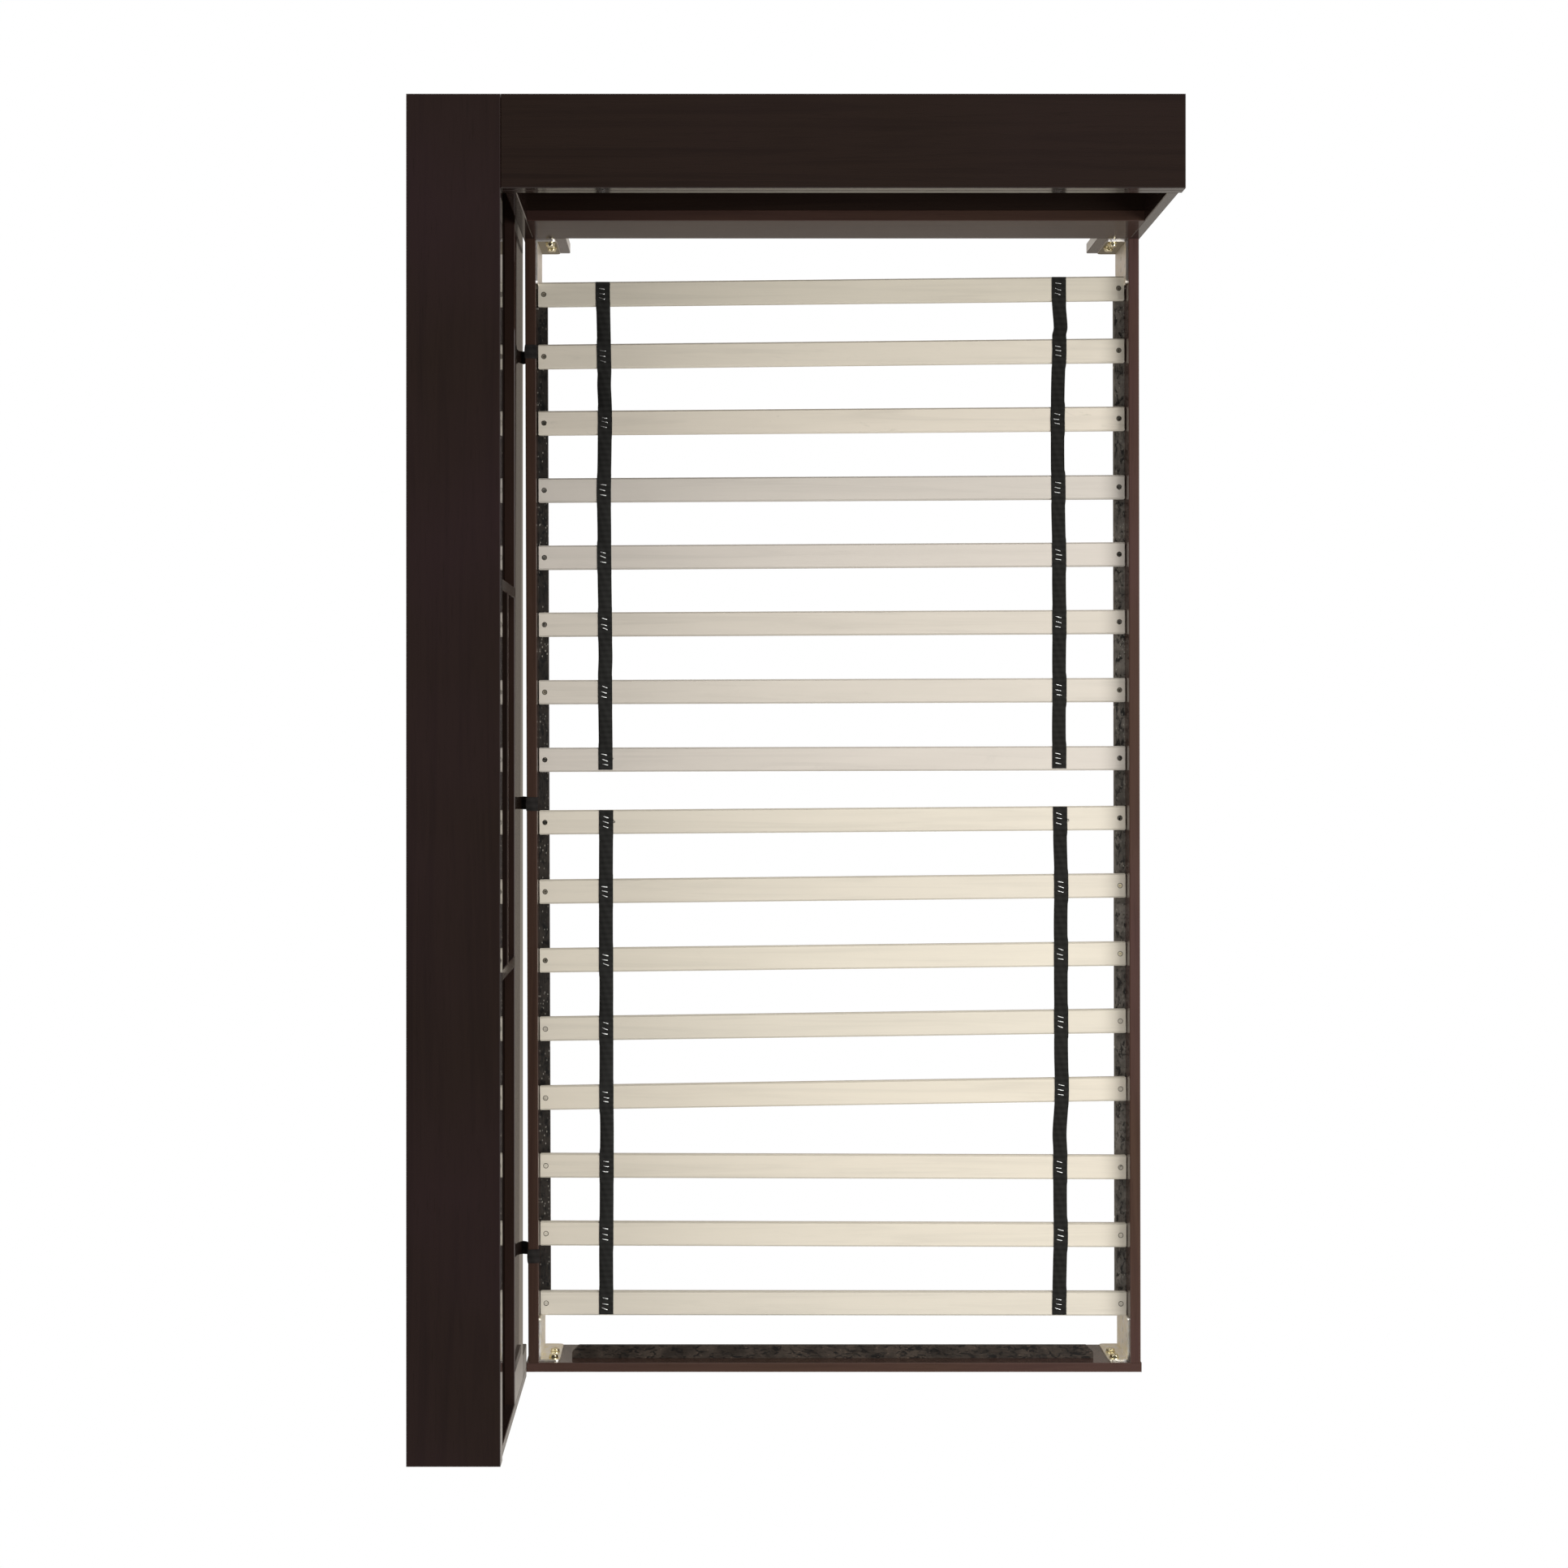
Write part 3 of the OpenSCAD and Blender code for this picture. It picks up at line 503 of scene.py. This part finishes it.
slat_lines = [slat_ends(node) for node in SLATS]
slat_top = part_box("slat_08")[1].z
SLAT_COUNT = len(SLATS)
ROLL_SLATS = 8
slat_half = 21 * MM
strap_low, strap_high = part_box("slat_webbing_head")
bed_x = (strap_low.x + strap_high.x) / 2
strap_reach = (strap_high.x - strap_low.x) / 2 - 12.5 * MM

# ---------------------------------------------------------------- slat webbing
STRAP_W = 24.6 * MM
STRAP_T = 1.3 * MM
STRAP_STEP = 1.5 * MM
STRAP_CURL = 0.5
STAPLE_PITCH = 8.5 * MM
STAPLE_TURN = math.radians(14)
STAPLE_HALF_W = {-1: 0.62 * MM, 1: 0.46 * MM}
# How far each strap strays from its line at slats 1 to 16, in mm
STRAY = {
    -1: [-4.3, -2.3, -0.4, -2.6, -2.0, -0.5, -0.4, 0.4, 1.4, 1.0, 1.3, 1.5, 1.9, 2.3, 1.7, 1.5],
    1: [-2.1, -1.2, -4.3, -2.9, -1.6, -1.2, -1.0, -1.4, 0.0, 2.1, 1.7, 1.9, 3.1, 0.0, 1.4, -1.4],
}
# Sideways kinks between two slats: strap side, slat before, mm, share of the gap
KINKS = [(1, 0, 3.0, 0.70), (-1, 1, -1.2, 0.4), (-1, 5, 0.8, 0.5), (1, 12, -1.5, 0.6)]


def staple_places(side, index):
    """Middles of the three staples on one strap crossing, on the strap's top."""
    spots = []
    for k in (1, 0, -1):
        x = bed_x + side * strap_reach + (STRAY[side][index] - 1.5) * MM
        x += random.uniform(-1.2, 1.2) * MM
        middle = on_slat(slat_lines[index], x)
        stray = random.uniform(-1.1, 1.1) * MM
        spots.append(middle + ALONG * (k * STAPLE_PITCH + stray) + UP * STRAP_T)
    return spots


staples = {(side, i): staple_places(side, i) for side in (-1, 1)
           for i in range(SLAT_COUNT)}


def strap_stations(side, first):
    """Cross-sections of one strap from slat `first` to the eighth slat after it."""
    crossings = []
    for i in range(first, first + ROLL_SLATS):
        x = bed_x + side * strap_reach + STRAY[side][i] * MM
        crossings.append(on_slat(slat_lines[i], x))
    start = crossings[0].y + slat_half - 0.4 * MM
    end = crossings[-1].y - slat_half + (3.5 * MM if first == 0 else 2.0 * MM)
    count = round((start - end) / STRAP_STEP)
    stations = []
    for n in range(count + 1):
        y = start + (end - start) * n / count
        gap = next((g for g in range(ROLL_SLATS - 1)
                    if crossings[g].y - slat_half > y > crossings[g + 1].y + slat_half), None)
        above = min(range(ROLL_SLATS), key=lambda c: abs(crossings[c].y - y))
        if gap is None:
            here = crossings[above]
            beyond = crossings[min(max(above + (1 if y < here.y else -1), 0), ROLL_SLATS - 1)]
            lean = (beyond.x - here.x) / max(abs(beyond.y - here.y), 0.05)
            x = here.x + lean * abs(y - here.y)
            stations.append(Station(Vector((x, y, slat_top + STRAP_T / 2)), ACROSS, UP, STRAP_W))
            continue
        top = crossings[gap].y - slat_half
        bottom = crossings[gap + 1].y + slat_half
        share = (top - y) / (top - bottom)
        edge = smoothed(min(top - y, y - bottom) / (11 * MM))
        x_share = (crossings[gap].y - y) / (crossings[gap].y - crossings[gap + 1].y)
        x = crossings[gap].x + (crossings[gap + 1].x - crossings[gap].x) * x_share
        for kink_side, before, size, where in KINKS:
            if kink_side == side and before == first + gap:
                bend = min(smoothed(share / where), smoothed((0.94 - share) / (0.94 - where)))
                x += size * MM * bend
        wobble = noise.noise(Vector((side * 3.1 + first, y * 9, 0)))
        x += 0.9 * MM * wobble * edge
        slack = (2.2 + 1.6 * noise.noise(Vector((gap * 1.7, side * 2.0, first)))) * MM
        z = slat_top + STRAP_T / 2 - slack * math.sin(math.pi * share) * edge
        roll = math.radians(9) * noise.noise(Vector((first + 0.5, y * 7, side * 4))) * edge
        turn = Matrix.Rotation(roll, 3, "Y")
        curl = STRAP_CURL * edge * (0.85 + 0.4 * wobble)
        stations.append(Station(Vector((x, y, z)), turn @ ACROSS, turn @ UP, STRAP_W, curl))
    return stations


def pressed_by_staples(side, first):
    """Depth that the staples press into the strap at a point, as a function."""
    spots = [s for i in range(first, first + ROLL_SLATS) for s in staples[side, i]]

    def depth(point):
        near = [s for s in spots if abs(s.y - point.y) < 4 * MM]
        total = 0.0
        for s in near:
            dx = (point.x - s.x) * math.cos(STAPLE_TURN) - (point.y - s.y) * math.sin(STAPLE_TURN)
            dy = (point.x - s.x) * math.sin(STAPLE_TURN) + (point.y - s.y) * math.cos(STAPLE_TURN)
            if abs(dx) < 6 * MM:
                total = max(total, 0.45 * MM * math.exp(-(dy / (1.3 * MM)) ** 2))
        return total

    return depth


def thread(bm, start, points):
    """A loose thread from a strap's cut end, given as mm steps from its start."""
    path = [start + Vector(p) * MM for p in points]
    tube(bm, path, 0.35 * MM, 0.35 * MM, sides=6)


def strap(side, first):
    bm = bmesh.new()
    stations = strap_stations(side, first)
    ribbon(bm, stations, STRAP_T, dent=pressed_by_staples(side, first))
    if first == ROLL_SLATS and side < 0:
        corner = stations[10].centre + ACROSS * STRAP_W * 0.47
        thread(bm, corner, [(0, 0, 0), (1.2, -2.2, 0.4), (2.6, -4.0, 0.5), (4.0, -4.6, 0.3),
                            (3.2, -6.0, 0.2), (1.0, -7.2, 0.1)])
    if first == ROLL_SLATS and side > 0:
        corner = stations[15].centre + ACROSS * STRAP_W * 0.47
        ring = [(1.6 - 1.9 * math.cos(t), -1.0 + 2.0 * math.sin(t), 0.4 + 0.1 * t)
                for t in [0.7 * k for k in range(9)]]
        thread(bm, corner, ring)
    if first == 0 and side < 0:
        corner = stations[-14].centre + ACROSS * STRAP_W * 0.48
        thread(bm, corner, [(0, 0, 0), (1.3, 0.5, 0.3), (1.9, -0.4, 0.3), (1.0, -1.4, 0.2)])
    return bm


STRAPS = [("strap_head_left", -1, 0), ("strap_head_right", 1, 0),
          ("strap_foot_left", -1, ROLL_SLATS), ("strap_foot_right", 1, ROLL_SLATS)]
for name, side, first in STRAPS:
    node = "slat_webbing_head" if first == 0 else "slat_webbing_foot"
    as_piece(name, strap(side, first), black_webbing[side], "black_webbing", node)


def staple_wire(bm, middle, length, turn, tilt, half_w):
    """A flat-wire staple: crown, two round shoulders and two legs into the strap."""
    half = length / 2
    profile = [(-half, -0.9), (-half, -0.25), (-half + 0.35 * MM, 0.02), (-half + 1.0 * MM, 0.16),
               (0, 0.20), (half - 1.0 * MM, 0.16), (half - 0.35 * MM, 0.02), (half, -0.25),
               (half, -0.9)]
    spin = Matrix.Rotation(-turn, 3, "Z")
    path = [middle + spin @ Vector((x, 0, z * MM + tilt * x)) for x, z in profile]
    tube(bm, path, half_w, 0.42 * MM, sides=10, lift=UP.lerp(spin @ ALONG, 0.001))


bm = bmesh.new()
for (side, index), spots in staples.items():
    for spot in spots:
        staple_wire(bm, spot, random.uniform(8.8, 10.0) * MM,
                    STAPLE_TURN + math.radians(random.uniform(-7, 7)), random.uniform(-0.03, 0.03),
                    STAPLE_HALF_W[side])
as_piece("staple_wires", bm, staple_steel, "screw_steel", "webbing_staples")


# ---------------------------------------------------------------- slat screws
def wood_screw(bm, top, spin):
    """A countersunk wood screw with a deep cross recess, pointing down from `top`."""
    head_r, shank_r, sink, tip = 3.75 * MM, 2.0 * MM, 2.0 * MM, 27.5 * MM
    radii = [0.35, 0.75, 1.15, 1.55, 1.95, 2.3, 2.8, 3.3, 3.6]
    segments = 48

    def surface(r_mm, t):
        along, beside = abs(r_mm * math.cos(t)), abs(r_mm * math.sin(t))
        arm = min(along, beside)
        slot_depth = 1.0 * smoothed((0.62 - arm) / 0.25) * smoothed((2.35 - r_mm) / 0.5)
        return -(0.35 + slot_depth + 1.8 * smoothed((1.3 - r_mm) / 0.5)) * MM + 0.12 * MM

    centre = bm.verts.new(top + UP * surface(0.0, 0.0))
    rings = []
    for r in radii:
        ring = []
        for k in range(segments):
            t = 2 * math.pi * k / segments
            offset = Vector((math.cos(t + spin), math.sin(t + spin), 0)) * r * MM
            ring.append(bm.verts.new(top + offset + UP * surface(r, t)))
        rings.append(ring)
    below = [(head_r, 0.42 * MM), (shank_r, sink), (shank_r, tip - 5 * MM), (0.3 * MM, tip)]
    for radius, depth in below:
        ring = []
        for k in range(segments):
            t = 2 * math.pi * k / segments + spin
            ring.append(bm.verts.new(top + Vector((math.cos(t), math.sin(t), 0)) * radius
                                     - UP * depth))
        rings.append(ring)
    for k in range(segments):
        bm.faces.new((centre, rings[0][k], rings[0][(k + 1) % segments]))
    join_rings(bm, rings, closed_ends=False)
    bm.faces.new(list(reversed(rings[-1])))


def screw_shadow_ring(bm, top):
    """A dark ring round where a screw head sits: a painted shadow of the gap around the head."""
    rings = []
    for radius, height in ((3.45, -0.6), (3.6, 0.06), (4.05, 0.10), (4.5, 0.04), (4.6, -0.6)):
        turns = [2 * math.pi * k / 48 for k in range(48)]
        rings.append([bm.verts.new(top + Vector((radius * math.cos(t), radius * math.sin(t),
                                                 height)) * MM) for t in turns])
    join_rings(bm, rings + rings[:1], closed_ends=False)


SCREW_INSET = 10.3 * MM
BRIGHT_SLATS = range(7, 11)  # slats 8 to 11, whose right screws are given a lighter colour than the rest
dull_screws = bmesh.new()
bright_screws = bmesh.new()
shadow_rings = bmesh.new()
for index, line in enumerate(slat_lines):
    for side, x in ((-1, line[0].x + SCREW_INSET), (1, line[1].x - SCREW_INSET)):
        light_coloured = side > 0 and index in BRIGHT_SLATS
        wood_screw(bright_screws if light_coloured else dull_screws, on_slat(line, x),
                   random.uniform(0, math.pi))
        screw_shadow_ring(shadow_rings, on_slat(line, x))
as_piece("slat_screws_dull", dull_screws, screw_dull, "screw_steel", "slat_screws")
as_piece("slat_screws_bright", bright_screws, screw_bright, "screw_steel", "slat_screws")
# Dark rings round the screw heads: painted shadow.
as_piece("slat_screw_shadow_rings", shadow_rings, screw_shadow, "slat_wood")


# ---------------------------------------------------------------- bracket bolts
def hex_bolt(bm, face, outward):
    """A hex bolt with a chamfered head. `face` is where the head meets its washer."""
    head_h, corner_r, shank_r, shank_l = 5.3 * MM, 7.4 * MM, 4.0 * MM, 14 * MM
    flat_r = corner_r * math.cos(math.pi / 6)
    segments = 48
    right = outward.cross(UP).normalized()

    def hexagon(t):
        return flat_r / math.cos((t % (math.pi / 3)) - math.pi / 6)

    profile = [(-shank_l, lambda t: 3.2 * MM), (-shank_l + 1 * MM, lambda t: shank_r),
               (0.0, lambda t: shank_r), (0.0, hexagon), (head_h - 2.0 * MM, hexagon),
               (head_h - 1.0 * MM, lambda t: min(hexagon(t), flat_r + 0.5 * MM)),
               (head_h - 0.3 * MM, lambda t: flat_r - 0.1 * MM),
               (head_h, lambda t: flat_r - 0.6 * MM), (head_h - 0.12 * MM, lambda t: 3.6 * MM),
               (head_h - 0.15 * MM, lambda t: 0.6 * MM)]
    rings = []
    for depth, radius in profile:
        ring = []
        for k in range(segments):
            t = 2 * math.pi * k / segments
            spoke = right * math.cos(t) + UP * math.sin(t)
            ring.append(bm.verts.new(face + outward * depth + spoke * radius(t)))
        rings.append(ring)
    join_rings(bm, rings)


BOLT_REACH = 24 * MM  # from a bracket's corner
WASHER_R = 8.5 * MM
WASHER_T = 1.5 * MM
bm = bmesh.new()
washer_low, washer_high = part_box("bracket_washers")
bolt_zs = (washer_low.z + WASHER_R, washer_high.z - WASHER_R)
for end, y, outward in (("head", washer_high.y, -ALONG), ("foot", washer_low.y, ALONG)):
    bolt_xs = (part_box(f"bracket_{end}_left")[0].x + BOLT_REACH,
               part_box(f"bracket_{end}_right")[1].x - BOLT_REACH)
    for x in bolt_xs:
        for z in bolt_zs:
            hex_bolt(bm, Vector((x, y, z)) + outward * WASHER_T, outward)
as_piece("hex_bolts", bm, brass_zinc, "zinc_plate", "bracket_bolts")


# ---------------------------------------------------------------- ties
def tie(y, seed):
    """A tie over the left rail that hangs in the gap and comes up in the side unit."""
    rail_low, rail_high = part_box("rail_left")
    panel_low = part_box("side_front_panel")[0]
    tie_low, tie_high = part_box("tie_straps")
    rail_points = [v.co for v in nodes["rail_left"].data.vertices]
    ends = []
    for end_y in (rail_low.y, rail_high.y):
        xs = [p.x for p in rail_points if abs(p.y - end_y) < 2 * MM]
        ends.append((min(xs), max(xs)))
    share = (y - rail_low.y) / (rail_high.y - rail_low.y)
    outside = ends[0][0] + (ends[1][0] - ends[0][0]) * share - 0.9 * MM
    inside = ends[0][1] + (ends[1][1] - ends[0][1]) * share + 0.9 * MM
    top, behind = rail_high.z + 0.8 * MM, panel_low.x - 0.8 * MM
    low = tie_low.z + 1.2 * MM
    width = 23.5 * MM
    corner = 3 * MM
    # x, z, and the share of the full width at points along the tie
    course = [(inside, top - 12 * MM, 1.0), (inside, top - 5 * MM, 1.0),
              (inside, top - 1.5 * MM, 1.0), (inside - 0.5 * MM, top - 0.4 * MM, 1.0),
              (inside - 1.5 * MM, top, 1.0), ((inside + outside) / 2, top, 1.0),
              (outside + 1.5 * MM, top, 1.0), (outside + 0.5 * MM, top - 0.4 * MM, 0.98),
              (outside, top - 1.5 * MM, 0.95), (outside - 0.3 * MM, top - 8 * MM, 0.8),
              (outside - 1.5 * MM, top - 22 * MM, 0.62), (outside - 3.0 * MM, top - 40 * MM, 0.6),
              (outside - 5.0 * MM, low + 12 * MM, 0.68), (outside - 9.0 * MM, low + 3 * MM, 0.78),
              ((outside + behind) / 2, low, 0.85), (behind + 7 * MM, low + 1 * MM, 0.9),
              (behind + 2 * MM, low + 6 * MM, 0.95), (behind, low + 16 * MM, 1.0),
              (behind, low + 38 * MM, 1.0), (behind, tie_high.z - 12 * MM, 1.0)]
    points = [Vector((x, y, z)) for x, z, share in course]
    stations = []
    for i, (x, z, share) in enumerate(course):
        ahead = points[min(i + 1, len(points) - 1)] - points[max(i - 1, 0)]
        ahead.normalize()
        up = ahead.cross(ALONG) * -1
        drift = 0.8 * MM * noise.noise(Vector((seed, i * 0.4, 0)))
        curl = 1.15 * (1 - share) / 0.4
        stations.append(Station(points[i] + ALONG * drift, ALONG, up, width, curl))
    return stations


bm = bmesh.new()
tie_low, tie_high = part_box("tie_straps")
tie_middle = (tie_low.y + tie_high.y) / 2
tie_spread = (tie_high.y - tie_low.y) / 2 - 12 * MM
for seed, y in enumerate((tie_middle - tie_spread, tie_middle, tie_middle + tie_spread)):
    ribbon(bm, tie(y, seed), 1.4 * MM, columns=13)
as_piece("ties", bm, grey_webbing, "grey_webbing", "tie_straps")


# ---------------------------------------------------------------- stage and light
FLOOR_ALBEDO = 0.15
FLOOR_GLOW = 0.33
FLOOR_WARMTH = (1.0, 0.88, 0.74)
FLOOR_SIDE = 16.0


def make_floor():
    bm = bmesh.new()
    bmesh.ops.create_grid(bm, x_segments=1, y_segments=1, size=FLOOR_SIDE / 2)
    mesh = bpy.data.meshes.new("studio_floor")
    bm.to_mesh(mesh)
    bm.free()
    floor = bpy.data.objects.new("studio_floor", mesh)
    bpy.context.scene.collection.objects.link(floor)
    floor.location.z = cad_low.z - 0.2 * MM
    s = Shader("studio_floor")
    s.set(Base_Color=(FLOOR_ALBEDO, FLOOR_ALBEDO, FLOOR_ALBEDO, 1), Roughness=0.9)
    s.set(Emission_Color=rgba(FLOOR_WARMTH), Emission_Strength=FLOOR_GLOW)
    glow = s.add("ShaderNodeEmission", {"Color": (1, 1, 1, 1), "Strength": 1.0})
    path = s.add("ShaderNodeLightPath")
    blend = s.add("ShaderNodeMixShader", {0: path.outputs["Is Camera Ray"]})
    s.tree.links.new(s.bsdf.outputs[0], blend.inputs[1])
    s.tree.links.new(glow.outputs[0], blend.inputs[2])
    s.tree.links.new(blend.outputs[0], s.out.inputs["Surface"])
    mesh.materials.append(s.material)


def make_world():
    """White behind the object; as light, dim overhead and brighter near the horizon."""
    world = bpy.data.worlds.new("studio")
    bpy.context.scene.world = world
    world.use_nodes = True
    tree = world.node_tree
    tree.nodes.clear()
    out = tree.nodes.new("ShaderNodeOutputWorld")
    sky = tree.nodes.new("ShaderNodeBackground")
    white = tree.nodes.new("ShaderNodeBackground")
    white.inputs["Color"].default_value = (1, 1, 1, 1)
    split = tree.nodes.new("ShaderNodeSeparateXYZ")
    tree.links.new(tree.nodes.new("ShaderNodeTexCoord").outputs["Generated"], split.inputs[0])
    ramp = tree.nodes.new("ShaderNodeValToRGB")
    ramp.color_ramp.elements[0].position = 0.30
    ramp.color_ramp.elements[0].color = (0.55, 0.55, 0.56, 1)
    ramp.color_ramp.elements[1].position = 0.92
    ramp.color_ramp.elements[1].color = (0.05, 0.05, 0.05, 1)
    tree.links.new(split.outputs["Z"], ramp.inputs[0])
    tree.links.new(ramp.outputs[0], sky.inputs["Color"])
    blend = tree.nodes.new("ShaderNodeMixShader")
    path = tree.nodes.new("ShaderNodeLightPath")
    tree.links.new(path.outputs["Is Camera Ray"], blend.inputs[0])
    tree.links.new(sky.outputs[0], blend.inputs[1])
    tree.links.new(white.outputs[0], blend.inputs[2])
    tree.links.new(blend.outputs[0], out.inputs["Surface"])


def softbox(name, place, size, watts, aim=(0.05, 0.0, 0.1)):
    light = bpy.data.lights.new(name, "AREA")
    light.shape = "RECTANGLE"
    light.size, light.size_y = size
    light.energy = watts
    lamp = bpy.data.objects.new(name, light)
    bpy.context.scene.collection.objects.link(lamp)
    lamp.location = place
    lamp.rotation_mode = "QUATERNION"
    lamp.rotation_quaternion = (Vector(aim) - Vector(place)).to_track_quat("-Z", "Y")


make_floor()
make_world()
softbox("key_right", (3.7, -0.1, 4.2), (2.2, 3.4), 260)
softbox("fill_left", (-3.6, 0.0, 3.8), (2.0, 3.4), 90)
softbox("fill_foot", (0.3, -4.3, 3.6), (3.2, 2.0), 110)
softbox("fill_head", (0.6, 4.3, 3.6), (3.0, 1.8), 120)

# ---------------------------------------------------------------- camera
CAMERA_RISE = 3.8
camera_data = bpy.data.cameras.new("camera")
camera_data.sensor_width = 36
camera_data.lens = 56.0
camera_data.shift_x = 0.0419
camera_data.shift_y = -0.0316
camera_data.clip_end = 60
camera = bpy.data.objects.new("camera", camera_data)
bpy.context.scene.collection.objects.link(camera)
camera.location = (-0.121, 0.0715, cad_high.z + CAMERA_RISE)
bpy.context.scene.camera = camera
bpy.context.scene.view_settings.view_transform = "Standard"
